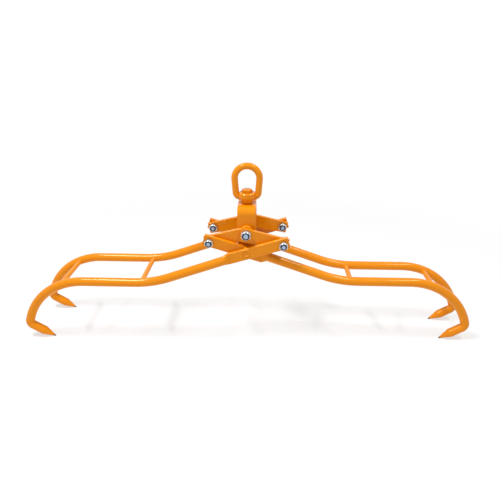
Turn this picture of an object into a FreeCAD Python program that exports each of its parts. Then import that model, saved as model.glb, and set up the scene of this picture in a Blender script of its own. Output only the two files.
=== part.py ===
# Log lifting tongs: four hooked claws on two crossing pairs of arms, hung by links from a swivel eye.
# Millimetres. +Z is up, +X is to the right and the front faces -Y. The origin is on the ground,
# midway between the four claw points, and the tongs stand fully open.
import FreeCAD, Part
import math
import os
import Sketcher
from FreeCAD import Placement, Rotation, Vector

doc = FreeCAD.newDocument("LogLiftingTongs")
sheet = doc.addObject("Spreadsheet::Sheet", "Sizes")
mm = {
    # Round bar of the arms over its paint, and how far its axis is from the middle plane
    "rod_diameter": 18.3,
    "rod_plane_outer": 60.8,
    "rod_plane_inner": 38.8,
    # Pressed flat end of an arm: its centre line passes below the middle pivot
    "flat_width": 22.6,
    "flat_thickness": 9.0,
    "flat_corner": 1.6,
    "flat_slope": 17.2,
    "flat_drop": 2.6,
    "flat_tail": 35.0,
    "flat_margin": 11.8,
    "forged_neck": 12.0,
    # Rod from the flat to the claw point
    "upper_slope": 19.5,
    "upper_run": 118.0,
    "knee_radius": 210.0,
    "level_run": 106.5,
    "shoulder_radius": 128.0,
    "shoulder_turn": 70.5,
    "drop_run": 6.0,
    "hook_radius": 11.0,
    "hook_turn": 79.0,
    "claw_run": 25.8,
    "claw_point": 25.0,
    "point_diameter": 1.6,
    # Cross rods between the two arms of a pair, placed by how far round its bend each one sits
    "brace_diameter": 10.0,
    "knee_brace_turn": 15.7,
    "shoulder_brace_turn": 21.3,
    # Links from the hanging point to the elbows, measured above and below the line of their holes
    "link_centres": 75.2,
    "fold_at_rest": 14.0,
    "link_above": 10.3,
    "link_below_centre": 19.0,
    "link_below_elbow": 12.5,
    "link_thickness": 7.5,
    "link_margin": 10.0,
    "link_end": 10.0,
    "link_end_radius": 8.0,
    "link_corner": 1.2,
    "boss_diameter": 25.0,
    "boss_thickness": 9.0,
    "plate_gap": 0.4,
    # Middle pivot pin
    "pin_diameter": 17.0,
    "pin_head_diameter": 23.0,
    "pin_head_height": 4.0,
    "pin_head_chamfer": 1.0,
    "running_fit": 0.06,
    # Bolts and lock nuts of the elbows. A nut's height includes its round collar, and the recess in
    # the collar holds the nylon ring
    "elbow_bolt": 10.0,
    "elbow_hexagon": 16.0,
    "elbow_head": 6.4,
    "elbow_nut": 10.0,
    "elbow_nut_hexagon": 7.4,
    "elbow_collar": 14.6,
    "elbow_recess": 12.4,
    "elbow_recess_floor": 7.6,
    "elbow_nylon": 1.8,
    # The same at the hanging point, where the swivel's bolt and nut are of the same size
    "centre_bolt": 12.0,
    "centre_hexagon": 18.0,
    "centre_head": 7.5,
    "centre_nut": 12.0,
    "centre_nut_hexagon": 9.0,
    "centre_collar": 16.6,
    "centre_recess": 14.4,
    "centre_recess_floor": 9.4,
    "centre_nylon": 2.0,
    "swivel_head": 6.0,
    "bolt_end": 1.6,
    "bolt_chamfer": 1.0,
    "collar_chamfer": 0.8,
    "hexagon_chamfer": 0.3,
    "hexagon_chamfer_slope": 30.0,
    # Strap bracket
    "strap_width": 36.0,
    "strap_thickness": 8.0,
    "strap_bend": 14.0,
    "strap_rise": 47.0,
    "strap_corner": 1.2,
    "leg_drop": 33.0,
    "leg_corner": 3.0,
    # Swivel hub, its washer and the lifting eye
    "washer_diameter": 21.0,
    "washer_thickness": 1.5,
    "hub_diameter": 34.0,
    "hub_foot": 23.0,
    "hub_height": 20.5,
    "hub_rim": 11.0,
    "hub_rounding": 1.5,
    "eye_stock": 13.2,
    "eye_radius": 24.5,
    "eye_rise": 48.8,
    "eye_lean": 4.5,
    "eye_leg": 27.0,
    "eye_corner": 9.0,
    "eye_corner_turn": 62.0,
    "eye_stub": 8.0,
    # How far a cut, or the hidden root of a joined form, runs past the face it meets
    "overrun": 1.0,
}
for row, (name, number) in enumerate(mm.items(), start=1):
    sheet.set(f"A{row}", name)
    sheet.set(f"B{row}", str(number))
    sheet.setAlias(f"B{row}", name)
doc.recompute()

# Sketch constraints number a line's or arc's start, end and centre, and the sketch's own two axes
START, END, CENTRE = range(1, 4)
HORIZONTAL_AXIS, VERTICAL_AXIS = -1, -2
FRONT, REAR = -1, 1
TOWARDS_FRONT = Rotation(Vector(1, 0, 0), 90)
tolerance = 1e-4
nodes = []


def measure(expression):
    """The number that an expression over the sheet comes to."""
    return float(sheet.evalExpression(expression))


def new_body(label, place):
    """A sub-part of its own, with its origin at the given place."""
    body = doc.addObject("PartDesign::Body", label)
    body.Label = label
    body.Placement = place
    nodes.append(body)
    return body


def sketch_on(body, plane_role, offset=Placement()):
    """A sketch on one of the body's own origin planes, moved or turned in that plane's frame."""
    plane = next(item for item in body.Origin.OriginFeatures if item.Role == plane_role)
    sketch = body.newObject("Sketcher::SketchObject", "Sketch")
    sketch.AttachmentSupport = [(plane, "")]
    sketch.MapMode = "FlatFace"
    sketch.AttachmentOffset = offset
    return sketch


def dimension(sketch, kind, *elements, follows):
    """A dimension of the sketch that follows an expression over the sheet."""
    number = measure(follows)
    if kind == "Angle":
        number = math.radians(number)
    index = sketch.addConstraint(Sketcher.Constraint(kind, *elements, number))
    sketch.setExpression(f"Constraints[{index}]", follows)


def fix_point(sketch, geometry, point, across, up):
    """Ties a point to the sketch's axes at the given distances."""
    if across == "0":
        sketch.addConstraint(Sketcher.Constraint("PointOnObject", geometry, point, VERTICAL_AXIS))
    else:
        dimension(sketch, "DistanceX", HORIZONTAL_AXIS, START, geometry, point, follows=across)
    if up == "0":
        sketch.addConstraint(Sketcher.Constraint("PointOnObject", geometry, point, HORIZONTAL_AXIS))
    else:
        dimension(sketch, "DistanceY", HORIZONTAL_AXIS, START, geometry, point, follows=up)


def circle(sketch, diameter, across="0", up="0"):
    """A circle whose diameter and centre follow the sheet."""
    centre = Vector(measure(across), measure(up), 0)
    ring = sketch.addGeometry(Part.Circle(centre, Vector(0, 0, 1), measure(diameter) / 2))
    dimension(sketch, "Diameter", ring, follows=diameter)
    fix_point(sketch, ring, CENTRE, across, up)


def outline(sketch, corners):
    """A closed outline of straight lines through corners given as pairs of expressions."""
    places = [Vector(measure(across), measure(up), 0) for across, up in corners]
    lines = []
    for begin, finish in zip(places, places[1:] + places[:1]):
        lines.append(sketch.addGeometry(Part.LineSegment(begin, finish)))
    for line, following in zip(lines, lines[1:] + lines[:1]):
        sketch.addConstraint(Sketcher.Constraint("Coincident", line, END, following, START))
    for line, (across, up) in zip(lines, corners):
        fix_point(sketch, line, START, across, up)


def hexagon(sketch, across_flats):
    """A regular hexagon round the sketch's origin."""
    corners = []
    for corner in range(6):
        reach = f"{across_flats} / sqrt(3)"
        corners.append((f"{reach} * cos({60 * corner + 30})", f"{reach} * sin({60 * corner + 30})"))
    corners = [(across if abs(measure(across)) > tolerance else "0", up) for across, up in corners]
    outline(sketch, corners)


def walk(start, heading, steps):
    """The corners of a bent bar's centre line: for each step its kind, sizes, start, heading and end.

    A step is ("run", length) or ("bend", radius, turn), with the turn in degrees to the left.
    """
    stretches = []
    here = start
    for step in steps:
        angle = math.radians(heading)
        forward = Vector(math.cos(angle), math.sin(angle), 0)
        if step[0] == "run":
            there = here + forward * measure(step[1])
            stretches.append((step, here, heading, there))
        else:
            radius = measure(step[1])
            turn = measure(step[2])
            side = math.copysign(1, turn)
            centre = here + Vector(-forward.y, forward.x, 0) * radius * side
            there = centre + Rotation(Vector(0, 0, 1), turn).multVec(here - centre)
            stretches.append((step, here, heading, there))
            heading += turn
        here = there
    return stretches, here, heading


def trace(sketch, start, heading, steps):
    """Draws a bent bar's centre line as lines and tangent arcs that follow the sheet."""
    origin = Vector(measure(start[0]), measure(start[1]), 0)
    stretches, finish, finish_heading = walk(origin, measure(heading), steps)
    before = None
    for step, here, angle, there in stretches:
        if step[0] == "run":
            piece = sketch.addGeometry(Part.LineSegment(here, there))
            first, last = START, END
        else:
            turn = measure(step[2])
            side = math.copysign(1, turn)
            to_centre = math.radians(angle + 90 * side)
            centre = here + Vector(math.cos(to_centre), math.sin(to_centre), 0) * measure(step[1])
            round_arc = Part.Circle(centre, Vector(0, 0, 1), measure(step[1]))
            begin = math.radians(angle - 90 * side)
            finish_angle = begin + math.radians(turn)
            low, high = min(begin, finish_angle), max(begin, finish_angle)
            piece = sketch.addGeometry(Part.ArcOfCircle(round_arc, low, high))
            first, last = (START, END) if turn > 0 else (END, START)
        if before is not None:
            sketch.addConstraint(Sketcher.Constraint("Tangent", before[0], before[1], piece, first))
        else:
            fix_point(sketch, piece, first, *start)
            dimension(sketch, "Angle", piece, follows=heading)
        if step[0] == "run":
            dimension(sketch, "Distance", piece, follows=step[1])
        else:
            dimension(sketch, "Radius", piece, follows=step[1])
            dimension(sketch, "Angle", piece, follows=f"abs({step[2]})")
        before = (piece, last)
    return finish, finish_heading


def pad(body, sketch, length, both_ways=False, reverse=False):
    """Adds the sketch's outline as a plate or bar of the given length."""
    feature = body.newObject("PartDesign::Pad", "Pad")
    feature.Profile = sketch
    feature.SideType = "Symmetric" if both_ways else "One side"
    feature.Reversed = reverse
    feature.setExpression("Length", length)
    return feature


def bore(body, sketch):
    """Cuts the sketch's circles right through the body."""
    feature = body.newObject("PartDesign::Pocket", "Bore")
    feature.Profile = sketch
    feature.SideType = "Symmetric"
    feature.Type = "ThroughAll"
    return feature


def turned(body, kind, corners):
    """Adds or cuts a turned form: the half outline on XZ goes once round the body's Z axis."""
    sketch = sketch_on(body, "XZ_Plane")
    outline(sketch, corners)
    feature = body.newObject(kind, "Turned")
    feature.Profile = sketch
    feature.ReferenceAxis = (sketch, ["V_Axis"])
    feature.Angle = 360
    return feature


def round_edges(body, feature, radius, wanted):
    """Rounds those edges of the feature that the test picks."""
    doc.recompute()
    picked = [f"Edge{number}" for number, edge in enumerate(feature.Shape.Edges, start=1) if wanted(edge)]
    rounding = body.newObject("PartDesign::Fillet", "Rounding")
    rounding.Base = (feature, picked)
    rounding.setExpression("Radius", radius)
    return rounding


def lies_at(edge, axis, distance):
    """Whether an edge stays at the given distance from the middle along the axis."""
    box = edge.BoundBox
    low, high = {"x": (box.XMin, box.XMax), "y": (box.YMin, box.YMax), "z": (box.ZMin, box.ZMax)}[axis]
    return abs(abs(low) - distance) < tolerance and abs(high - low) < tolerance


def runs_front_to_rear(edge):
    """Whether a straight edge points along Y."""
    return edge.BoundBox.XLength < tolerance and edge.BoundBox.ZLength < tolerance


# The arms. A round bar is pressed flat at its upper end, bent down to a level run, carried round a
# wide shoulder and hooked back into a straight claw that is ground to a point. The arms with their
# claws on the left are the outer pair; the inner pair is their mirror image.

def arm_route(hand):
    """Start, heading and steps of an arm's rod, from the flat's neck to the base of the point."""
    reach = "(Sizes.flat_tail + Sizes.forged_neck)"
    across = f"{-hand} * ({reach} * cos(Sizes.flat_slope) - Sizes.flat_drop * sin(Sizes.flat_slope))"
    up = f"-{reach} * sin(Sizes.flat_slope) - Sizes.flat_drop * cos(Sizes.flat_slope)"
    heading = "-180 + Sizes.upper_slope" if hand > 0 else "-Sizes.upper_slope"
    steps = [
        ("run", "Sizes.upper_run"),
        ("bend", "Sizes.knee_radius", f"{-hand} * Sizes.upper_slope"),
        ("run", "Sizes.level_run"),
        ("bend", "Sizes.shoulder_radius", f"{hand} * Sizes.shoulder_turn"),
        ("run", "Sizes.drop_run"),
        ("bend", "Sizes.hook_radius", f"{hand} * Sizes.hook_turn"),
        ("run", "Sizes.claw_run"),
    ]
    return (across, up), heading, steps


def rounded_bar(sketch, across):
    """The flat's section, with rounded corners, drawn about its own centre line."""
    half_thickness = "Sizes.flat_thickness / 2"
    half_width = "Sizes.flat_width / 2"
    corner = "Sizes.flat_corner"
    centre_across = measure(across)
    centre_up = -mm["flat_drop"]
    wide = measure(half_thickness)
    tall = measure(half_width)
    bend = mm["flat_corner"]
    sides = []
    for begin, finish in (
        ((-wide, tall - bend), (-wide, bend - tall)),
        ((bend - wide, -tall), (wide - bend, -tall)),
        ((wide, bend - tall), (wide, tall - bend)),
        ((wide - bend, tall), (bend - wide, tall)),
    ):
        ends = [Vector(centre_across + x, centre_up + y, 0) for x, y in (begin, finish)]
        sides.append(sketch.addGeometry(Part.LineSegment(*ends)))
    corners = []
    for quarter, (x, y) in enumerate(((-1, -1), (1, -1), (1, 1), (-1, 1))):
        middle = Vector(centre_across + x * (wide - bend), centre_up + y * (tall - bend), 0)
        begin = math.radians(180 + 90 * quarter)
        arc = Part.ArcOfCircle(Part.Circle(middle, Vector(0, 0, 1), bend), begin, begin + math.radians(90))
        corners.append(sketch.addGeometry(arc))
    for quarter in range(4):
        following = sides[(quarter + 1) % 4]
        sketch.addConstraint(Sketcher.Constraint("Tangent", sides[quarter], END, corners[quarter], START))
        sketch.addConstraint(Sketcher.Constraint("Tangent", corners[quarter], END, following, START))
    for quarter in range(1, 4):
        sketch.addConstraint(Sketcher.Constraint("Equal", corners[0], corners[quarter]))
    sketch.addConstraint(Sketcher.Constraint("Vertical", sides[0]))
    sketch.addConstraint(Sketcher.Constraint("Horizontal", sides[1]))
    dimension(sketch, "Radius", corners[0], follows=corner)
    left = f"{across} - {half_thickness} + {corner}"
    right = f"{across} + {half_thickness} - {corner}"
    low = f"-Sizes.flat_drop - {half_width} + {corner}"
    high = f"-Sizes.flat_drop + {half_width} - {corner}"
    fix_point(sketch, corners[0], CENTRE, left, low)
    fix_point(sketch, corners[2], CENTRE, right, high)


def arm(label, hand, place, flat_shift):
    """One arm, with its origin on the middle pivot's axis in the plane of the rod."""
    body = new_body(label, place)
    slope = mm["flat_slope"]
    across_the_bar = Vector(1, 0, 0)
    flat_low = "-Sizes.flat_tail * sin(Sizes.flat_slope)"
    flat_across = f"{-hand} * Sizes.flat_tail * cos(Sizes.flat_slope)"
    flat_end = Vector(0, measure(flat_low), measure(flat_across))
    section = sketch_on(body, "YZ_Plane", Placement(flat_end, Rotation(across_the_bar, -hand * slope)))
    section.setExpression("AttachmentOffset.Base.y", flat_low)
    section.setExpression("AttachmentOffset.Base.z", flat_across)
    rounded_bar(section, flat_shift)
    flat_length = "Sizes.flat_tail + Sizes.link_centres * cos(Sizes.flat_slope - Sizes.fold_at_rest)"
    pad(body, section, f"{flat_length} + Sizes.flat_margin", reverse=hand < 0)

    along_the_flat = Placement(Vector(), Rotation(Vector(0, 0, 1), hand * slope))
    holes = sketch_on(body, "XZ_Plane", along_the_flat)
    circle(holes, "Sizes.pin_diameter + 2 * Sizes.running_fit")
    elbow_along = f"{hand} * Sizes.link_centres * cos(Sizes.flat_slope - Sizes.fold_at_rest)"
    elbow_below = "-Sizes.link_centres * sin(Sizes.flat_slope - Sizes.fold_at_rest)"
    circle(holes, "Sizes.elbow_bolt + 2 * Sizes.running_fit", elbow_along, elbow_below)
    bore(body, holes)

    start, heading, steps = arm_route(hand)
    rod_start = Vector(0, measure(start[1]), measure(start[0]))
    rod_turn = Rotation(across_the_bar, -hand * mm["upper_slope"])
    rod_section = sketch_on(body, "YZ_Plane", Placement(rod_start, rod_turn))
    rod_section.setExpression("AttachmentOffset.Base.y", start[1])
    rod_section.setExpression("AttachmentOffset.Base.z", start[0])
    circle(rod_section, "Sizes.rod_diameter")
    neck = body.newObject("PartDesign::AdditiveLoft", "Neck")
    neck.Profile = section
    neck.Sections = [rod_section]

    route = sketch_on(body, "XZ_Plane")
    claw_base, claw_heading = trace(route, start, heading, steps)
    rod = body.newObject("PartDesign::AdditivePipe", "Rod")
    rod.Profile = rod_section
    rod.Spine = route

    aim = math.radians(claw_heading)
    forward = Vector(math.cos(aim), 0, math.sin(aim))
    point = body.newObject("PartDesign::AdditiveCone", "Point")
    point.setExpression("Radius1", "Sizes.rod_diameter / 2")
    point.setExpression("Radius2", "Sizes.point_diameter / 2")
    point.setExpression("Height", "Sizes.claw_point")
    point.Placement = Placement(Vector(claw_base.x, 0, claw_base.y), Rotation(Vector(0, 0, 1), forward))


def point_below_pivot():
    """How far the lowest edge of a claw point is below the middle pivot."""
    start, heading, steps = arm_route(1)
    origin = Vector(measure(start[0]), measure(start[1]), 0)
    base, aim = walk(origin, measure(heading), steps)[1:]
    fall = -math.sin(math.radians(aim))
    blunt = mm["point_diameter"] / 2 * math.cos(math.radians(aim))
    return -base.y + mm["claw_point"] * fall + blunt


rise = mm["link_centres"] * math.sin(math.radians(mm["fold_at_rest"]))
half_span = mm["link_centres"] * math.cos(math.radians(mm["fold_at_rest"]))
pivot_height = point_below_pivot()
elbow_height = pivot_height + rise
centre_height = elbow_height + rise
LEFT_CLAW = 1
RIGHT_CLAW = -1
ends = {"front": FRONT, "rear": REAR}
outer_shift = "Sizes.flat_thickness / 2"
inner_flat_face = "(Sizes.rod_plane_outer - Sizes.flat_thickness - Sizes.plate_gap)"
inner_shift = f"({inner_flat_face} - Sizes.flat_thickness / 2 - Sizes.rod_plane_inner)"
for end, face in ends.items():
    outer_place = Placement(Vector(0, face * mm["rod_plane_outer"], pivot_height), Rotation())
    arm(f"outer_arm_{end}", LEFT_CLAW, outer_place, f"{-face} * {outer_shift}")
    inner_place = Placement(Vector(0, face * mm["rod_plane_inner"], pivot_height), Rotation())
    arm(f"inner_arm_{end}", RIGHT_CLAW, inner_place, f"{face} * {inner_shift}")


# Cross rods. Two round rods tie the front and rear arm of each pair, one by the knee and one on the
# shoulder; their ends are coped to the arms and welded.

def cross_rod(label, pair, hand, bend, turn):
    """A rod across a pair of arms, on the arms' centre line part of the way round one bend."""
    start, heading, steps = arm_route(hand)
    origin = Vector(measure(start[0]), measure(start[1]), 0)
    radius = steps[bend][1]
    side = math.copysign(1, measure(steps[bend][2]))
    way = steps[:bend] + [("bend", radius, f"{side} * {turn}")]
    middle, aim = walk(origin, measure(heading), way)[1:]
    to_centre = math.radians(aim + 90 * side)
    centre = middle + Vector(math.cos(to_centre), math.sin(to_centre), 0) * measure(radius)
    plane = mm[f"rod_plane_{pair}"]
    bar = doc.addObject("Part::Cylinder", f"{label}_bar")
    bar.setExpression("Radius", "Sizes.brace_diameter / 2")
    bar.setExpression("Height", f"2 * Sizes.rod_plane_{pair}")
    bar.Placement = Placement(Vector(middle.x, plane, pivot_height + middle.y), TOWARDS_FRONT)
    coped = bar
    for end, face in ends.items():
        arm_bend = doc.addObject("Part::Torus", f"{label}_{end}_arm")
        arm_bend.setExpression("Radius1", radius)
        arm_bend.setExpression("Radius2", "Sizes.rod_diameter / 2")
        arm_bend.Placement = Placement(Vector(centre.x, face * plane, pivot_height + centre.y), TOWARDS_FRONT)
        cut = doc.addObject("Part::Cut", f"{label}_{end}_coped")
        cut.Base = coped
        cut.Tool = arm_bend
        coped = cut
    coped.Label = label
    nodes.append(coped)


KNEE_BEND = 1
SHOULDER_BEND = 3
for pair, hand in (("outer", LEFT_CLAW), ("inner", RIGHT_CLAW)):
    cross_rod(f"{pair}_brace_knee", pair, hand, KNEE_BEND, "Sizes.knee_brace_turn")
    cross_rod(f"{pair}_brace_shoulder", pair, hand, SHOULDER_BEND, "Sizes.shoulder_brace_turn")


# Links. Tapered plates from the hanging point to the elbows, one on each side front and rear, deepest
# below the hanging point. The left ones have a round boss there, thick enough to reach the right ones.

LEFT_SIDE = -1
RIGHT_SIDE = 1
link_face_right = inner_flat_face
link_face_left = f"({inner_flat_face} - Sizes.flat_thickness - Sizes.plate_gap)"


def link(label, hand, face, outer_face):
    """A link with its origin at the hanging point and its holes in line along X to the elbow."""
    down_to_elbow = Rotation(Vector(0, 1, 0), hand * mm["fold_at_rest"])
    mid_plane = measure(f"{outer_face} - Sizes.link_thickness / 2")
    body = new_body(label, Placement(Vector(0, face * mid_plane, centre_height), down_to_elbow))
    plate = sketch_on(body, "XZ_Plane")
    near = f"{-hand} * Sizes.link_end"
    far = f"{hand} * (Sizes.link_centres + Sizes.link_margin)"
    outline(plate, [
        (near, "-Sizes.link_below_centre"),
        (far, "-Sizes.link_below_elbow"),
        (far, "Sizes.link_above"),
        (near, "Sizes.link_above"),
    ])
    blank = pad(body, plate, "Sizes.link_thickness", both_ways=True)
    link_end = mm["link_end"]
    blank = round_edges(body, blank, "Sizes.link_end_radius",
                        lambda edge: runs_front_to_rear(edge) and lies_at(edge, "x", link_end))
    half_thickness = mm["link_thickness"] / 2
    round_edges(body, blank, "Sizes.link_corner", lambda edge: lies_at(edge, "y", half_thickness))
    if hand == LEFT_SIDE:
        inner_face = Placement(Vector(0, 0, face * half_thickness), Rotation())
        disc = sketch_on(body, "XZ_Plane", inner_face)
        disc.setExpression("AttachmentOffset.Base.z", f"{face} * Sizes.link_thickness / 2")
        circle(disc, "Sizes.boss_diameter")
        boss = pad(body, disc, "Sizes.boss_thickness", reverse=face == REAR)
        boss_face = mm["boss_thickness"] - half_thickness
        round_edges(body, boss, "Sizes.link_corner", lambda edge: lies_at(edge, "y", boss_face))
    holes = sketch_on(body, "XZ_Plane")
    circle(holes, "Sizes.centre_bolt + 2 * Sizes.running_fit")
    circle(holes, "Sizes.elbow_bolt + 2 * Sizes.running_fit", f"{hand} * Sizes.link_centres", "0")
    bore(body, holes)


for end, face in ends.items():
    link(f"right_link_{end}", RIGHT_SIDE, face, link_face_right)
    link(f"left_link_{end}", LEFT_SIDE, face, link_face_left)


# Bracket. A flat strap bent into an upside-down U: the links hang on its legs, whose ends are rounded
# off below the bolt, and the swivel bolt passes through its top.

leg_face = f"({link_face_left} - Sizes.link_thickness - Sizes.plate_gap)"
leg_plane = f"({leg_face} - Sizes.strap_thickness / 2)"


def bracket():
    """The strap, with its origin at the hanging point."""
    body = new_body("lift_bracket", Placement(Vector(0, 0, centre_height), Rotation()))
    section = sketch_on(body, "XY_Plane", Placement(Vector(0, 0, -mm["leg_drop"]), Rotation()))
    section.setExpression("AttachmentOffset.Base.z", "-Sizes.leg_drop")
    half_width = "Sizes.strap_width / 2"
    near = f"-{leg_face} + Sizes.strap_thickness"
    far = f"-{leg_face}"
    outline(section, [
        (f"-{half_width}", far),
        (half_width, far),
        (half_width, near),
        (f"-{half_width}", near),
    ])
    route = sketch_on(body, "YZ_Plane")
    straight_leg = "Sizes.leg_drop + Sizes.strap_rise - Sizes.strap_bend"
    bend = "Sizes.strap_bend - Sizes.strap_thickness / 2"
    steps = [
        ("run", straight_leg),
        ("bend", bend, "-90"),
        ("run", f"2 * ({leg_face} - Sizes.strap_bend)"),
        ("bend", bend, "-90"),
        ("run", straight_leg),
    ]
    trace(route, (f"-{leg_plane}", "-Sizes.leg_drop"), "90", steps)
    strap = body.newObject("PartDesign::AdditivePipe", "Strap")
    strap.Profile = section
    strap.Spine = route
    leg_end = mm["leg_drop"]
    blank = round_edges(body, strap, "Sizes.leg_corner",
                        lambda edge: runs_front_to_rear(edge) and lies_at(edge, "z", leg_end))
    side = mm["strap_width"] / 2
    round_edges(body, blank, "Sizes.strap_corner", lambda edge: lies_at(edge, "x", side))
    hanging_hole = sketch_on(body, "XZ_Plane")
    circle(hanging_hole, "Sizes.centre_bolt + 2 * Sizes.running_fit")
    bore(body, hanging_hole)
    swivel_hole = sketch_on(body, "XY_Plane")
    circle(swivel_hole, "Sizes.centre_bolt + 2 * Sizes.running_fit")
    bore(body, swivel_hole)


bracket()


# Swivel. A round hub with the forged eye on it turns on a bolt over a thin washer, above the strap.

strap_top = centre_height + mm["strap_rise"]
hub_base = strap_top + mm["washer_thickness"] + mm["plate_gap"]


def swivel_eye():
    """Hub and eye in one piece, with their origin in the middle of the hub's lower face."""
    body = new_body("swivel_eye", Placement(Vector(0, 0, hub_base), Rotation()))
    foot = "Sizes.hub_foot / 2"
    rim = "Sizes.hub_diameter / 2"
    side_low = "Sizes.hub_height - Sizes.hub_rim"
    softened = "Sizes.hub_rounding"
    turned(body, "PartDesign::Revolution", [
        ("0", "0"),
        (foot, "0"),
        (f"{rim} - {softened}", side_low),
        (rim, f"{side_low} + {softened}"),
        (rim, f"Sizes.hub_height - {softened}"),
        (f"{rim} - {softened}", "Sizes.hub_height"),
        ("0", "Sizes.hub_height"),
    ])
    hole = sketch_on(body, "XY_Plane")
    circle(hole, "Sizes.centre_bolt + 2 * Sizes.running_fit")
    bore(body, hole)
    lean = "(90 + Sizes.eye_lean)"
    start_heading = f"{lean} + Sizes.eye_corner_turn"
    steps = [
        ("run", "Sizes.eye_stub"),
        ("bend", "Sizes.eye_corner", "-Sizes.eye_corner_turn"),
        ("run", "Sizes.eye_leg"),
        ("bend", "Sizes.eye_radius", "-90 - Sizes.eye_lean"),
        ("bend", "Sizes.eye_radius", "-90 - Sizes.eye_lean"),
        ("run", "Sizes.eye_leg"),
        ("bend", "Sizes.eye_corner", "-Sizes.eye_corner_turn"),
        ("run", "Sizes.eye_stub"),
    ]
    before_crown = walk(Vector(), measure(start_heading), steps[:3])[1]
    across = f"-Sizes.eye_radius * cos(Sizes.eye_lean) - {before_crown.x}"
    up = f"Sizes.eye_rise - Sizes.eye_radius * sin(Sizes.eye_lean) - {before_crown.y}"
    route = sketch_on(body, "XZ_Plane")
    trace(route, (across, up), start_heading, steps)
    stock_place = Placement(Vector(0, measure(up), measure(across)), Rotation())
    stock_place.Rotation = Rotation(Vector(1, 0, 0), -measure(start_heading))
    stock = sketch_on(body, "YZ_Plane", stock_place)
    circle(stock, "Sizes.eye_stock")
    eye = body.newObject("PartDesign::AdditivePipe", "Eye")
    eye.Profile = stock
    eye.Spine = route


swivel_eye()


def ring(label, place, outside, inside, height):
    """A flat ring that stands on the XY plane of its own place."""
    body = new_body(label, place)
    plan = sketch_on(body, "XY_Plane")
    circle(plan, outside)
    circle(plan, inside)
    pad(body, plan, height)


washer_place = Placement(Vector(0, 0, strap_top), Rotation())
shank_hole = "Sizes.centre_bolt + 2 * Sizes.running_fit"
ring("swivel_washer", washer_place, "Sizes.washer_diameter", shank_hole, "Sizes.washer_thickness")


# Bolts and lock nuts. Hexagon bolts with lock nuts: each nut has a round collar that holds a nylon
# ring. Both stand on their bearing face, and the shank or the nut's body points along +Z.

def chamfer_cut(body, across_flats, face, outwards):
    """Turns the hexagon's corners down at its outer face."""
    flat = f"{across_flats} / 2 - Sizes.hexagon_chamfer"
    beyond = f"({across_flats} / sqrt(3) + Sizes.overrun)"
    slope = f"({beyond} - {flat}) * tan(Sizes.hexagon_chamfer_slope)"
    turned(body, "PartDesign::Groove", [
        (flat, face),
        (beyond, f"{face} - {outwards} * {slope}"),
        (beyond, face),
    ])


def bolt(label, series, head_height, place, length):
    """A hexagon bolt: head below its origin, shank above."""
    body = new_body(label, place)
    head = sketch_on(body, "XY_Plane")
    hexagon(head, f"Sizes.{series}_hexagon")
    pad(body, head, head_height, reverse=True)
    chamfer_cut(body, f"Sizes.{series}_hexagon", f"-{head_height}", -1)
    radius = f"Sizes.{series}_bolt / 2"
    turned(body, "PartDesign::Revolution", [
        ("0", "-Sizes.overrun"),
        (radius, "-Sizes.overrun"),
        (radius, f"{length} - Sizes.bolt_chamfer"),
        (f"{radius} - Sizes.bolt_chamfer", length),
        ("0", length),
    ])


def lock_nut(label, series, place):
    """A hexagon nut with a hollow collar on its outer side."""
    body = new_body(label, place)
    plan = sketch_on(body, "XY_Plane")
    hexagon(plan, f"Sizes.{series}_hexagon")
    hexagon_height = f"Sizes.{series}_nut_hexagon"
    pad(body, plan, hexagon_height)
    chamfer_cut(body, f"Sizes.{series}_hexagon", hexagon_height, 1)
    height = f"Sizes.{series}_nut"
    collar = f"Sizes.{series}_collar / 2"
    recess = f"Sizes.{series}_recess / 2"
    recess_floor = f"Sizes.{series}_recess_floor"
    shank = f"Sizes.{series}_bolt / 2 + Sizes.running_fit"
    turned(body, "PartDesign::Revolution", [
        (shank, f"{hexagon_height} - Sizes.overrun"),
        (collar, f"{hexagon_height} - Sizes.overrun"),
        (collar, f"{height} - Sizes.collar_chamfer"),
        (f"{collar} - Sizes.collar_chamfer", height),
        (shank, height),
    ])
    turned(body, "PartDesign::Groove", [
        ("0", "-Sizes.overrun"),
        (shank, "-Sizes.overrun"),
        (shank, recess_floor),
        (recess, recess_floor),
        (recess, f"{height} + Sizes.overrun"),
        ("0", f"{height} + Sizes.overrun"),
    ])


def nylon_ring(label, series, place):
    """The ring in a nut's collar, standing on the recess's floor; the place is the nut's own."""
    on_the_floor = place.multiply(Placement(Vector(0, 0, mm[f"{series}_recess_floor"]), Rotation()))
    shank = f"Sizes.{series}_bolt + 2 * Sizes.running_fit"
    ring(label, on_the_floor, f"Sizes.{series}_recess", shank, f"Sizes.{series}_nylon")


def fasten(name, series, across, up, outer_face, inner_face):
    """Bolt, lock nut and nylon ring through the plates, front and rear, nut towards the front."""
    grip = f"({outer_face} - {inner_face})"
    length = f"{grip} + Sizes.{series}_nut + Sizes.bolt_end"
    for end, face in ends.items():
        head_face = -measure(inner_face) if face == FRONT else measure(outer_face)
        bolt_place = Placement(Vector(across, head_face, up), TOWARDS_FRONT)
        bolt(f"{name}_bolt_{end}", series, f"Sizes.{series}_head", bolt_place, length)
        nut_place = Placement(Vector(across, head_face - measure(grip), up), TOWARDS_FRONT)
        lock_nut(f"{name}_nut_{end}", series, nut_place)
        nylon_ring(f"{name}_nylon_{end}", series, nut_place)


outer_flat_face = "Sizes.rod_plane_outer"
behind_right_link = f"({link_face_right} - Sizes.link_thickness - Sizes.plate_gap)"
behind_left_link = f"({link_face_left} - Sizes.link_thickness - Sizes.plate_gap)"
before_right_link = f"({link_face_right} + Sizes.plate_gap)"
inside_bracket = f"({leg_face} - Sizes.strap_thickness - Sizes.plate_gap)"
fasten("right", "elbow", half_span, elbow_height, outer_flat_face, behind_right_link)
fasten("left", "elbow", -half_span, elbow_height, inner_flat_face, behind_left_link)
fasten("centre", "centre", 0, centre_height, before_right_link, inside_bracket)


# Swivel bolt. Its head bears on the hub with two corners to the sides, and its nut is under the strap.

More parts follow.
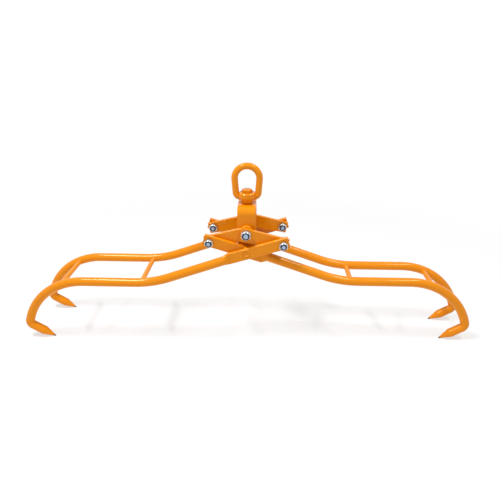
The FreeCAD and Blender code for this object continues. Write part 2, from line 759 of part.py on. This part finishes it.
hub_top = hub_base + mm["hub_height"] + mm["plate_gap"]
HEAD_UP = Rotation(Vector(1, 0, 0), 180)
CORNERS_TO_THE_SIDES = Rotation(Vector(0, 0, 1), 30)
swivel_grip = "Sizes.hub_height + 2 * Sizes.plate_gap + Sizes.washer_thickness + Sizes.strap_thickness"
swivel_length = f"{swivel_grip} + Sizes.centre_nut + Sizes.bolt_end"
swivel_place = Placement(Vector(0, 0, hub_top), HEAD_UP.multiply(CORNERS_TO_THE_SIDES))
bolt("swivel_bolt", "centre", "Sizes.swivel_head", swivel_place, swivel_length)
under_strap = Placement(Vector(0, 0, strap_top - mm["strap_thickness"]), HEAD_UP)
lock_nut("swivel_nut", "centre", under_strap)
nylon_ring("swivel_nylon", "centre", under_strap)


# Middle pivot pins. Each is flush with the outer flat's face and has a low head behind the inner one.

def pivot_pin(label, face):
    """A headed pin with its origin on the outer flat's face, pointing inwards along +Z."""
    towards_middle = Rotation(Vector(1, 0, 0), face * 90)
    place = Placement(Vector(0, face * mm["rod_plane_outer"], pivot_height), towards_middle)
    body = new_body(label, place)
    grip = "2 * Sizes.flat_thickness + 2 * Sizes.plate_gap"
    radius = "Sizes.pin_diameter / 2"
    head = "Sizes.pin_head_diameter / 2"
    turned(body, "PartDesign::Revolution", [
        ("0", "0"),
        (radius, "0"),
        (radius, grip),
        (head, grip),
        (head, f"{grip} + Sizes.pin_head_height - Sizes.pin_head_chamfer"),
        (f"{head} - Sizes.pin_head_chamfer", f"{grip} + Sizes.pin_head_height"),
        ("0", f"{grip} + Sizes.pin_head_height"),
    ])


for end, face in ends.items():
    pivot_pin(f"pivot_pin_{end}", face)


# Everything is worked out and checked before any file is written.

doc.recompute()
least_cut = 1.0
for item in doc.Objects:
    if "Invalid" in item.State or "Error" in item.State:
        raise RuntimeError(f"{item.Name} did not build: {item.State}")
    if item.TypeId in ("PartDesign::Pocket", "PartDesign::Groove"):
        if item.Shape.Volume > item.BaseFeature.Shape.Volume - least_cut:
            raise RuntimeError(f"{item.Name} in {item.getParentGeoFeatureGroup().Label} cut nothing")
os.makedirs("parts", exist_ok=True)
for node in nodes:
    if node.Shape.isNull() or not node.Shape.isValid() or len(node.Shape.Solids) != 1:
        raise RuntimeError(f"{node.Label} is not one valid solid")
for node in nodes:
    node.Shape.exportStep(f"parts/{node.Label}.step")
    print(node.Label, len(node.Shape.Faces), round(node.Shape.Volume))
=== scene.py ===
"""Log lifting tongs, fully open: four hooked claws, links, a strap bracket and a swivel eye."""
import math

import bmesh
import bpy
from mathutils import Matrix, Vector


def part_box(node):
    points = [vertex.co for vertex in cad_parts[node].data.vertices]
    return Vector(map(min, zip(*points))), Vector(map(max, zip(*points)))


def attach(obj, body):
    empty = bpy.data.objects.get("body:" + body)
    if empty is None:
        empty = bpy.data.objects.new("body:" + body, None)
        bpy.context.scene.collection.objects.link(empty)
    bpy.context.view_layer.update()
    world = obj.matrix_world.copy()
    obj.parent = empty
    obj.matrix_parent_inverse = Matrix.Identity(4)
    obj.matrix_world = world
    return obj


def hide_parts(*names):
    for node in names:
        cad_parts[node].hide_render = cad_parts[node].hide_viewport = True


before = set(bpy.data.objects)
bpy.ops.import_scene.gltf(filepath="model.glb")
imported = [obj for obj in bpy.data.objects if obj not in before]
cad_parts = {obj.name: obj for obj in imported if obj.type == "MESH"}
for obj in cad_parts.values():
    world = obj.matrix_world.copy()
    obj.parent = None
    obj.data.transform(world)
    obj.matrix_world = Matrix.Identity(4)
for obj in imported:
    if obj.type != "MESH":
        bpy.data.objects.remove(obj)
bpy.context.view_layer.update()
mm = 0.001

# Camera. It stands about a metre away, a little to the right, and looks down at a point just below
# the middle pivot, as the photographer did.
look_at = Vector((5.7, 0, 179.7)) * mm
camera_distance = 1042.7 * mm
camera_turn = math.radians(2.2)
camera_height_angle = math.radians(23.32)
camera_data = bpy.data.cameras.new("camera")
camera_data.sensor_width = 36
camera_data.lens = 36.17
camera = bpy.data.objects.new("camera", camera_data)
camera.rotation_euler = (math.pi / 2 - camera_height_angle, 0, camera_turn)
backwards = camera.rotation_euler.to_matrix() @ Vector((0, 0, 1))
camera.location = look_at + backwards * camera_distance
bpy.context.collection.objects.link(camera)
bpy.context.scene.camera = camera

# Arms. Round steel bar, hot pressed flat at the upper end, bent to shape and ground to a point. The
# enamel is sprayed on: glossy, with an orange-peel ripple and a film that is a little thicker in
# places. It never covers a sharp point well, so the last millimetres of each claw show dark steel.


def linear(hex_colour):
    """An sRGB hex colour as linear red, green, blue and alpha."""
    channels = [int(hex_colour[start:start + 2], 16) / 255 for start in (1, 3, 5)]
    return (*[c / 12.92 if c <= 0.04045 else ((c + 0.055) / 1.055) ** 2.4 for c in channels], 1)


def add(tree, kind, settings=None, **inputs):
    """Adds a node. Settings are its own fields, and inputs are values or sockets to link.

    Where several inputs share a name, they are numbered, from _0 for the first.
    """
    made = tree.nodes.new(kind)
    for field, value in (settings or {}).items():
        setattr(made, field, value)
    for name, value in inputs.items():
        socket = made.inputs[int(name[1:]) if name[0] == "_" else name.replace("_", " ")]
        if isinstance(value, bpy.types.NodeSocket):
            tree.links.new(value, socket)
        else:
            socket.default_value = value
    return made


def new_material(name):
    """An empty material, with its node tree, its output node and the place on the object."""
    material = bpy.data.materials.new(name)
    material.use_nodes = True
    tree = material.node_tree
    tree.nodes.clear()
    output = tree.nodes.new("ShaderNodeOutputMaterial")
    return material, tree, output, add(tree, "ShaderNodeTexCoord").outputs["Object"]


def mottled(tree, place, patch_width, detail, darker, lighter):
    """Soft patches of two colours, as the pattern's value and the colour."""
    patches = add(tree, "ShaderNodeTexNoise", Vector=place, Scale=1 / patch_width, Detail=detail)
    colour = add(
        tree, "ShaderNodeMix", {"data_type": "RGBA"},
        Factor=patches.outputs["Fac"], _6=linear(darker), _7=linear(lighter),
    )
    return patches.outputs["Fac"], colour.outputs[2]


def finish_nodes(names, material):
    """Gives CAD nodes their finish."""
    for name in names:
        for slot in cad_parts[name].material_slots:
            slot.material = material


# The real orange peel is about 1 mm wide, too fine to show here, so it is drawn at twice that.
orange_peel_width = 2.2 * mm
orange_peel_height = 0.1 * mm
film_patch_width = 45 * mm
glossiest = 0.13
dullest = 0.19
claw_tip = Vector((406.6, 0, 1)) * mm
bare_steel_length = 1.0 * mm
paint_starts_at = 4.5 * mm
chip_width = 1.5 * mm
chip_reach = 2 * mm
bare_steel_roughness = 0.45


def bare_share(tree, place):
    """How bare the steel is: 1 at the four claws' tips, and 0 where the enamel is whole.

    Left and right are mirrored onto each other and the depth is left out, so that one distance
    serves for all four.
    """
    sides = add(tree, "ShaderNodeVectorMath", {"operation": "ABSOLUTE"}, _0=place).outputs[0]
    flat = add(tree, "ShaderNodeVectorMath", {"operation": "MULTIPLY"}, _0=sides, _1=(1, 0, 1)).outputs[0]
    reach = add(tree, "ShaderNodeVectorMath", {"operation": "DISTANCE"}, _0=flat, _1=claw_tip)
    chips = add(tree, "ShaderNodeTexNoise", Vector=place, Scale=1 / chip_width, Detail=3.0)
    ragged = add(
        tree, "ShaderNodeMath", {"operation": "MULTIPLY_ADD"},
        _0=chips.outputs["Fac"], _1=-chip_reach, _2=reach.outputs["Value"],
    )
    return add(
        tree, "ShaderNodeMapRange", Value=ragged.outputs[0],
        From_Min=bare_steel_length, From_Max=paint_starts_at, To_Min=1.0, To_Max=0.0,
    ).outputs[0]


def enamel(name, bare_points):
    """Orange enamel over steel, with or without bare claw points."""
    material, tree, output, place = new_material(name)
    peel = add(tree, "ShaderNodeTexNoise", Vector=place, Scale=1 / orange_peel_width, Detail=2.0)
    film, colour = mottled(tree, place, film_patch_width, 3.0, "#DC8105", "#E58B0D")
    gloss = add(tree, "ShaderNodeMapRange", Value=film, To_Min=glossiest, To_Max=dullest).outputs[0]
    ripple = add(
        tree, "ShaderNodeBump", Height=peel.outputs["Fac"], Strength=0.03, Distance=orange_peel_height,
    )
    surface = add(
        tree, "ShaderNodeBsdfPrincipled",
        Normal=ripple.outputs["Normal"], IOR=1.37, Specular_Tint=linear("#FFECC4"),
    )
    if bare_points:
        bare = bare_share(tree, place)
        steel = add(
            tree, "ShaderNodeMix", {"data_type": "RGBA"}, Factor=bare, _6=colour, _7=linear("#75603F"),
        )
        colour = steel.outputs[2]
        gloss = add(tree, "ShaderNodeMix", Factor=bare, _2=gloss, _3=bare_steel_roughness).outputs[0]
        tree.links.new(bare, surface.inputs["Metallic"])
    tree.links.new(colour, surface.inputs["Base Color"])
    tree.links.new(gloss, surface.inputs["Roughness"])
    tree.links.new(surface.outputs["BSDF"], output.inputs["Surface"])
    return material


arms = [f"{pair}_arm_{end}" for pair in ("outer", "inner") for end in ("front", "rear")]
finish_nodes(arms, enamel("orange_enamel_with_bare_points", bare_points=True))

# Cross rods. Thin round bar between the two arms of a pair, by the knee and on the shoulder, with
# coped ends, under the same enamel as the arms.
plain_enamel = enamel("orange_enamel_glossy", bare_points=False)
knee_slope = math.radians(3.8)
shoulder_slope = math.radians(21.3)
outer_arm_plane = 60.8 * mm
inner_arm_plane = 38.8 * mm
towards_claws_left = -1
towards_claws_right = 1
cross_rods = {
    "outer_brace_knee": ("outer_arm", towards_claws_left, knee_slope, outer_arm_plane),
    "outer_brace_shoulder": ("outer_arm", towards_claws_left, shoulder_slope, outer_arm_plane),
    "inner_brace_knee": ("inner_arm", towards_claws_right, knee_slope, inner_arm_plane),
    "inner_brace_shoulder": ("inner_arm", towards_claws_right, shoulder_slope, inner_arm_plane),
}
finish_nodes(cross_rods, plain_enamel)

# Welds of the cross rods. A bead of filler runs once round each end where rod and arm meet, laid in
# short overlapping pushes that leave a scaly ripple, and the enamel goes over it.
rod_radius = 5 * mm
arm_radius = 9.15 * mm
bead_radius = 1.7 * mm
scale_height = 0.16 * mm
scales_round_rod = 22
scale_curve = 0.9
steps_along_bead = 176
steps_across_bead = 14
smooth_up_to = math.radians(32)

# Front and rear, with the way that each faces along Y.
ends = {"front": -1, "rear": 1}


def finished(name, body, material, verts, faces, replaced=None):
    """A mesh piece with its finish, riding on a body and standing for a CAD node if one is named."""
    mesh = bpy.data.meshes.new(name)
    mesh.from_pydata(verts, [], faces)
    shell = bmesh.new()
    shell.from_mesh(mesh)
    bmesh.ops.recalc_face_normals(shell, faces=shell.faces)
    shell.to_mesh(mesh)
    shell.free()
    mesh.materials.append(material)
    mesh.shade_smooth()
    mesh.set_sharp_from_angle(angle=smooth_up_to)
    piece = bpy.data.objects.new(name, mesh)
    bpy.context.collection.objects.link(piece)
    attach(piece, body)
    if replaced:
        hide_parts(replaced)
    return piece


def weld_bead(centre, along_arm, face, plane):
    """Corners and faces of a bead round a cross rod, where it meets the arm on one side."""
    across_arm = Vector((-along_arm.z, 0, along_arm.x))
    verts, faces = [], []
    for step in range(steps_along_bead):
        turn = math.tau * step / steps_along_bead
        outwards = along_arm * math.cos(turn) + across_arm * math.sin(turn)
        onto_arm = math.sqrt(arm_radius ** 2 - (rod_radius * math.sin(turn)) ** 2)
        middle = centre + outwards * rod_radius
        middle.y = face * (plane - onto_arm)
        here = step * steps_across_bead
        there = (step + 1) % steps_along_bead * steps_across_bead
        for part in range(steps_across_bead):
            tilt = math.tau * part / steps_across_bead
            scale = math.cos(scales_round_rod * turn + scale_curve * math.cos(tilt))
            radius = bead_radius + scale_height * scale
            round_bead = outwards * math.cos(tilt) + Vector((0, face * math.sin(tilt), 0))
            verts.append(middle + round_bead * radius)
            beside = (part + 1) % steps_across_bead
            faces.append((here + part, here + beside, there + beside, there + part))
    return verts, faces


for rod, (body, side, slope, plane) in cross_rods.items():
    low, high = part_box(rod)
    middle = (low + high) / 2
    along_arm = Vector((side * math.cos(slope), 0, -math.sin(slope)))
    for end, face in ends.items():
        verts, faces = weld_bead(Vector((middle.x, 0, middle.z)), along_arm, face, plane)
        finished(f"weld_{rod}_{end}", body, plain_enamel, verts, faces)

# Links. Tapered plates cut from flat steel, deepest at the hanging point, with drilled ends and eased
# edges. They are enamelled before the tongs are bolted together.
links = [f"{side}_link_{end}" for side in ("left", "right") for end in ends]
finish_nodes(links, plain_enamel)

# Middle pivot pins. Turned steel with a low head inside. The outer end is upset over the flat's hole
# into a shallow dished rim and painted over, so that only a faint circle shows from the front.
pin_radius = 8.5
pin_grip = 18.8
pin_head_radius = 11.5
pin_head_height = 4.0
pin_head_chamfer = [(0, -1), (-0.4, -0.3), (-1.2, 0)]
faces_round = 72


def turned(rings, place):
    """Corners and faces of a form of rings round +Z, from radii and heights in mm.

    Either may be a function of the angle. A form that ends where it began is a ring itself.
    """
    verts, faces, starts = [], [], []
    hollow = rings[0] == rings[-1]
    for radius, height in rings[:-1] if hollow else rings:
        starts.append(len(verts))
        for step in range(1 if radius == 0 else faces_round):
            turn = math.tau * step / faces_round
            reach = radius(turn) if callable(radius) else radius
            rise = height(turn) if callable(height) else height
            corner = Vector((reach * math.cos(turn), reach * math.sin(turn), rise)) * mm
            verts.append(place @ corner)
    following = starts[1:] + (starts[:1] if hollow else [])
    for (radius, _), (next_radius, _), first, second in zip(rings, rings[1:], starts, following):
        for step in range(faces_round):
            ahead = (step + 1) % faces_round
            if radius == 0:
                faces.append((first, second + step, second + ahead))
            elif next_radius == 0:
                faces.append((first + ahead, first + step, second))
            else:
                faces.append((first + step, first + ahead, second + ahead, second + step))
    return verts, faces


def moved(points, radius, height):
    """Points of a rim or lip, given from its own corner, at a radius and height."""
    return [(radius + outwards, height + upwards) for outwards, upwards in points]


# Heights from the flat's face inwards, so what is below zero stands out from the flat.
upset_face = [
    (0, -0.4),
    (3.0, -0.2),
    (4.6, 0.3),
    (5.2, 0.2),
    (6.1, -1.0),
    (6.7, -1.35),
    (7.3, -1.2),
    (8.2, -0.2),
    (pin_radius, 0.1),
]
pin_rings = [
    *upset_face,
    (pin_radius, pin_grip),
    (pin_head_radius, pin_grip),
    *moved(pin_head_chamfer, pin_head_radius, pin_grip + pin_head_height),
    (0, pin_grip + pin_head_height),
]
for end, face in ends.items():
    node = f"pivot_pin_{end}"
    low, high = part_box(node)
    middle = (low + high) / 2
    outer_face = low.y if face < 0 else high.y
    inwards = Matrix.Rotation(face * math.pi / 2, 4, "X")
    verts, faces = turned(pin_rings, Matrix.Translation((middle.x, outer_face, middle.z)) @ inwards)
    finished(f"upset_pin_{end}", "outer_arm", plain_enamel, verts, faces, node)

# Strap bracket. Flat bar bent hot over a former into an upside-down U, drilled through its top and
# legs and enamelled.
finish_nodes(["lift_bracket"], plain_enamel)

# Bolts of the elbows and the hanging point. Cold-headed hexagon bolts with rolled threads, zinc
# plated and passivated, which leaves them bright with a cold blue cast. The thread is coloured dark as
# painted shade, for the shade that falls into its grooves. Elbows have M10, the hanging point M12.
plating_patch_width = 4 * mm
plating_smoothest = 0.22
plating_roughest = 0.38


def zinc_plating(name, darker, lighter):
    """Zinc plating whose colour and sheen vary a little from place to place."""
    material, tree, output, place = new_material(name)
    patches, colour = mottled(tree, place, plating_patch_width, 4.0, darker, lighter)
    sheen = add(
        tree, "ShaderNodeMapRange", Value=patches, To_Min=plating_smoothest, To_Max=plating_roughest,
    )
    surface = add(
        tree, "ShaderNodeBsdfPrincipled",
        Base_Color=colour, Metallic=1.0, Roughness=sheen.outputs["Result"],
    )
    tree.links.new(surface.outputs["BSDF"], output.inputs["Surface"])
    return material


blue_zinc = zinc_plating("zinc_plating_blue_passivated", "#8FA3BC", "#AEBDD0")
# Painted shade: a dark zinc colour for the thread, standing in for the shade in its grooves.
thread_shade_zinc = zinc_plating("zinc_plating_painted_shade_in_the_thread", "#2E3846", "#465262")

# In mm. Shank, collar and recess are radii, hexagon is the width across flats, and the rest are
# lengths along the axis. nut_hexagon is where the nut's hexagon ends and its collar begins.
series = {
    "elbow": {
        "shank": 5.0, "hexagon": 16.0, "head": 6.4, "pitch": 1.5, "nut": 10.0, "nut_hexagon": 7.4,
        "collar": 7.3, "recess": 6.45, "recess_floor": 7.6, "nylon": 1.7,
    },
    "centre": {
        "shank": 6.0, "hexagon": 18.0, "head": 7.5, "pitch": 1.75, "nut": 12.0, "nut_hexagon": 9.0,
        "collar": 8.3, "recess": 7.45, "recess_floor": 9.4, "nylon": 1.9,
    },
}
chamfer_slope = math.tan(math.radians(30))
chamfer_inset = 0.3
washer_face_height = 0.4
thread_turns_shown = 3
steps_per_pitch = 10
thread_depth_by_pitch = 0.61
groove_steepness = 1.14
end_chamfer = 1.4

# The bands of faces on a bolt's head and plain shank, before the first band of its thread.
bands_before_thread = 7


def hexagon_radius(across_flats):
    """The distance from a hexagon's middle to its side, with a corner at 30 degrees."""
    sixth = math.pi / 3
    return lambda turn: across_flats / 2 / math.cos((turn - sixth / 2) % sixth - sixth / 2)


def hexagon_edge(across_flats, face, way):
    """The height of a turned-down hexagon's edge, which dips at the corners, below or above a face."""
    side = hexagon_radius(across_flats)
    return lambda turn: face - way * (side(turn) - across_flats / 2 + chamfer_inset) * chamfer_slope


def thread_radius(shank, pitch, rise, length):
    """The rolled thread's radius at one height, as a function of the angle."""
    depth = thread_depth_by_pitch * pitch
    begun = min(1, (rise - length) / pitch + thread_turns_shown)
    end_limit = shank - max(0, rise - length + end_chamfer)

    def radius(turn):
        phase = (rise / pitch - turn / math.tau) % 1
        groove = 1 - min(1, abs(2 * phase - 1) * groove_steepness)
        return min(shank - depth * begun * groove, end_limit)
    return radius


def bolt_rings(sizes, head, length):
    """A bolt with its head below zero and a washer face under the hexagon."""
    across = sizes["hexagon"]
    side = hexagon_radius(across)
    flat = across / 2 - chamfer_inset
    rings = [
        (0, -head),
        (flat, -head),
        (side, hexagon_edge(across, -head, -1)),
        (side, -washer_face_height),
        (flat, -washer_face_height),
        (flat, 0),
        (sizes["shank"], 0),
    ]
    pitch = sizes["pitch"]
    steps = thread_turns_shown * steps_per_pitch
    for step in range(steps + 1):
        rise = length - (steps - step) * pitch / steps_per_pitch
        rings.append((thread_radius(sizes["shank"], pitch, rise, length), rise))
    return rings + [(0, length)]


fasteners = {
    "right": ("elbow", "outer_arm"),
    "left": ("elbow", "inner_arm"),
    "centre": ("centre", "centre"),
}


def each_fastener(kind):
    """The node, sizes, body, lowest and highest corner of each bolt, nut or nylon ring."""
    for joint, (size, body) in fasteners.items():
        for end in ends:
            node = f"{joint}_{kind}_{end}"
            yield (node, series[size], body, *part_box(node))


def towards_front(low, high, depth):
    """Places a turned form on the axis of a CAD box, from a depth along Y towards the front."""
    middle = (low + high) / 2
    return Matrix.Translation((middle.x, depth, middle.z)) @ Matrix.Rotation(math.pi / 2, 4, "X")


for node, sizes, body, low, high in each_fastener("bolt"):
    head = sizes["head"]
    length = (high.y - low.y) / mm - head
    verts, faces = turned(bolt_rings(sizes, head, length), towards_front(low, high, high.y - head * mm))
    bolt = finished(f"threaded_{node}", body, blue_zinc, verts, faces, node)
    # The thread's faces get the dark colour, which is painted shade.
    bolt.data.materials.append(thread_shade_zinc)
    for thread_face in bolt.data.polygons[bands_before_thread * faces_round:-faces_round]:
        thread_face.material_index = 1

# Lock nuts. Hexagon nuts turned and tapped from bar and zinc plated, a little whiter than the bolts. A
# round collar on top is crimped inwards over the nylon ring that grips the thread.
bright_zinc = zinc_plating("zinc_plating_bright", "#B6B9BF", "#D3D3D2")
running_fit = 0.06
collar_fillet = 0.3
crimp_outside = [(0, -1), (-0.25, -0.4), (-0.5, -0.1), (-0.65, 0)]
crimp_inside = [(0, -0.1), (-0.05, -0.5)]


def nut_rings(sizes):
    """A nut that bears at zero, as a closed ring from its bore outwards and back."""
    across = sizes["hexagon"]
    side = hexagon_radius(across)
    flat = across / 2 - chamfer_inset
    bore = sizes["shank"] + running_fit
    shoulder, collar = sizes["nut_hexagon"], sizes["collar"]
    return [
        (bore, 0),
        (flat, 0),
        (side, hexagon_edge(across, 0, -1)),
        (side, hexagon_edge(across, shoulder, 1)),
        (flat, shoulder),
        (collar + collar_fillet, shoulder),
        (collar, shoulder + collar_fillet),
        *moved(crimp_outside, collar, sizes["nut"]),
        *moved(crimp_inside, sizes["recess"], sizes["nut"]),
        (sizes["recess"], sizes["recess_floor"]),
        (bore, sizes["recess_floor"]),
        (bore, 0),
    ]


for node, sizes, body, low, high in each_fastener("nut"):
    verts, faces = turned(nut_rings(sizes), towards_front(low, high, high.y))
    finished(f"crimped_{node}", body, bright_zinc, verts, faces, node)

# Nylon rings. Moulded in blue-grey with a dull skin, pressed into the nuts' collars, and pushed
# up a little where the thread went through. Their colour is darker than the nylon's own, as painted
# shade of the recess they sit in.
nylon_patch_width = 3 * mm
nylon, tree, output, place = new_material("moulded_nylon_with_painted_shade")
# Painted shade: the near-black blue-grey deepens the nylon's own colour with the shade of the nut's
# recess.
_, colour = mottled(tree, place, nylon_patch_width, 2.0, "#1B2330", "#29333F")
nylon_surface = add(tree, "ShaderNodeBsdfPrincipled", Base_Color=colour, Roughness=0.5, IOR=1.53)
tree.links.new(nylon_surface.outputs["BSDF"], output.inputs["Surface"])
nylon_clearance = 0.05
nylon_gap = 0.12
outer_edge = [(0, -0.3), (-0.3, -0.1)]
raised_edge = [(0.25, 0), (0, -0.15)]


def nylon_rings(sizes):
    """A ring that lies on the floor of the nut's recess, raised round the thread."""
    bore = sizes["shank"] + nylon_clearance
    outside = sizes["recess"] - nylon_gap
    floor, top = sizes["recess_floor"], sizes["recess_floor"] + sizes["nylon"]
    return [
        (bore, floor),
        (outside, floor),
        *moved(outer_edge, outside, top),
        *moved(raised_edge, bore, top),
        (bore, floor),
    ]


for node, sizes, body, low, high in each_fastener("nylon"):
    foot = high.y + sizes["recess_floor"] * mm
    verts, faces = turned(nylon_rings(sizes), towards_front(low, high, foot))
    finished(f"moulded_{node}", body, nylon, verts, faces, node)

# Swivel eye. Forged of round stock in one piece with its tapering hub, which is bored through for the
# swivel bolt, and enamelled before it is fitted.
finish_nodes(["swivel_eye"], plain_enamel)

# Swivel washer. Pressed from sheet and enamelled with the rest. It is narrower than the hub's foot,
# which leaves a dark gap between hub and strap.
washer_bore = 6.06
washer_radius = 8.4
washer_thickness = 1.5
washer_foot = [(-0.4, 0), (0, 0.35)]
washer_top = [(0, -0.5), (-0.5, 0)]
washer_rings = [
    (washer_bore, 0),
    *moved(washer_foot, washer_radius, 0),
    *moved(washer_top, washer_radius, washer_thickness),
    (washer_bore, washer_thickness),
    (washer_bore, 0),
]
strap_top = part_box("swivel_washer")[0].z
verts, faces = turned(washer_rings, Matrix.Translation((0, 0, strap_top)))
finished("pressed_swivel_washer", "bracket", plain_enamel, verts, faces, "swivel_washer")

# Swivel bolt. An M12 hexagon bolt down through hub, washer and strap, enamelled together with the
# eye. Its lock nut and nylon ring under the strap were put on afterwards and are bare.
swivel_head = 6.0
downwards = Matrix.Rotation(math.pi, 4, "X")
corners_to_the_sides = Matrix.Rotation(math.radians(30), 4, "Z")
low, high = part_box("swivel_bolt")
length = (high.z - low.z) / mm - swivel_head
place = Matrix.Translation((0, 0, high.z - swivel_head * mm)) @ downwards @ corners_to_the_sides
verts, faces = turned(bolt_rings(series["centre"], swivel_head, length), place)
finished("threaded_swivel_bolt", "bracket", plain_enamel, verts, faces, "swivel_bolt")
nut_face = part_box("swivel_nut")[1].z
place = Matrix.Translation((0, 0, nut_face)) @ downwards
verts, faces = turned(nut_rings(series["centre"]), place)
finished("crimped_swivel_nut", "bracket", bright_zinc, verts, faces, "swivel_nut")
verts, faces = turned(nylon_rings(series["centre"]), place)
finished("moulded_swivel_nylon", "bracket", nylon, verts, faces, "swivel_nylon")

# Studio. A white paper floor that the tongs stand on and that turns to plain white further away, and
# two long soft boxes above. The left one is stronger and narrower, and draws the bright line along the
# level bars. Places and sizes are in metres, power is in watts.
floor_reach = 6
paper_starts_to_fade = 0.55
paper_is_plain_white = 1.1
white_near_the_tongs = 0.6
room_light = 0.43
soft_boxes = {
    "box_on_the_left": {"place": (-0.78, -0.38, 1.9), "width": 0.7, "depth": 0.14, "power": 29.5},
    "box_on_the_right": {"place": (0.95, -0.36, 1.9), "width": 0.9, "depth": 0.18, "power": 16},
}


def seen_directly(tree):
    """1 for rays from the camera, from a gleam or through glass, which see plain white, or else 0."""
    rays = add(tree, "ShaderNodeLightPath")
    seen = rays.outputs["Is Camera Ray"]
    for kind in ("Is Glossy Ray", "Is Transmission Ray"):
        either = add(tree, "ShaderNodeMath", {"operation": "MAXIMUM"}, _0=seen, _1=rays.outputs[kind])
        seen = either.outputs[0]
    return seen


white, tree, output, place = new_material("white_backdrop_paper")
paper = add(tree, "ShaderNodeBsdfDiffuse", Color=linear("#F4F4F4"))
glow = add(tree, "ShaderNodeEmission", Color=(1, 1, 1, 1), Strength=1.0)
distance = add(tree, "ShaderNodeVectorMath", {"operation": "LENGTH"}, _0=place)
fade = add(
    tree, "ShaderNodeMapRange", {"interpolation_type": "SMOOTHSTEP"},
    Value=distance.outputs["Value"], From_Min=paper_starts_to_fade, From_Max=paper_is_plain_white,
    To_Min=white_near_the_tongs, To_Max=1.0,
)
share = add(
    tree, "ShaderNodeMath", {"operation": "MULTIPLY"}, _0=seen_directly(tree), _1=fade.outputs[0],
)
choice = add(tree, "ShaderNodeMixShader", _0=share.outputs[0], _1=paper.outputs[0], _2=glow.outputs[0])
tree.links.new(choice.outputs[0], output.inputs["Surface"])
floor_mesh = bpy.data.meshes.new("floor")
floor_corners = [(x * floor_reach, y * floor_reach, 0) for x, y in ((-1, -1), (1, -1), (1, 1), (-1, 1))]
floor_mesh.from_pydata(floor_corners, [], [(0, 1, 2, 3)])
floor_mesh.materials.append(white)
floor = bpy.data.objects.new("floor", floor_mesh)
bpy.context.collection.objects.link(floor)

world = bpy.data.worlds.new("studio")
bpy.context.scene.world = world
world.use_nodes = True
tree = world.node_tree
tree.nodes.clear()
seen = seen_directly(tree)
room = add(tree, "ShaderNodeBackground", Color=(1, 1, 1, 1), Strength=room_light)
backdrop = add(tree, "ShaderNodeBackground", Color=(1, 1, 1, 1), Strength=1.0)
choice = add(tree, "ShaderNodeMixShader", _0=seen, _1=room.outputs[0], _2=backdrop.outputs[0])
add(tree, "ShaderNodeOutputWorld", Surface=choice.outputs[0])

# Paper and room are even and dim beside the soft boxes, so no samples are aimed at them.
white.cycles.emission_sampling = "NONE"
world.cycles.sampling_method = "NONE"

for name, box in soft_boxes.items():
    lamp_data = bpy.data.lights.new(name, "AREA")
    lamp_data.shape = "RECTANGLE"
    lamp_data.size = box["width"]
    lamp_data.size_y = box["depth"]
    lamp_data.energy = box["power"]
    lamp = bpy.data.objects.new(name, lamp_data)
    lamp.location = box["place"]
    lamp.rotation_euler = (lamp.location - look_at).to_track_quat("Z", "Y").to_euler()
    bpy.context.collection.objects.link(lamp)
bpy.context.scene.view_settings.view_transform = "Standard"
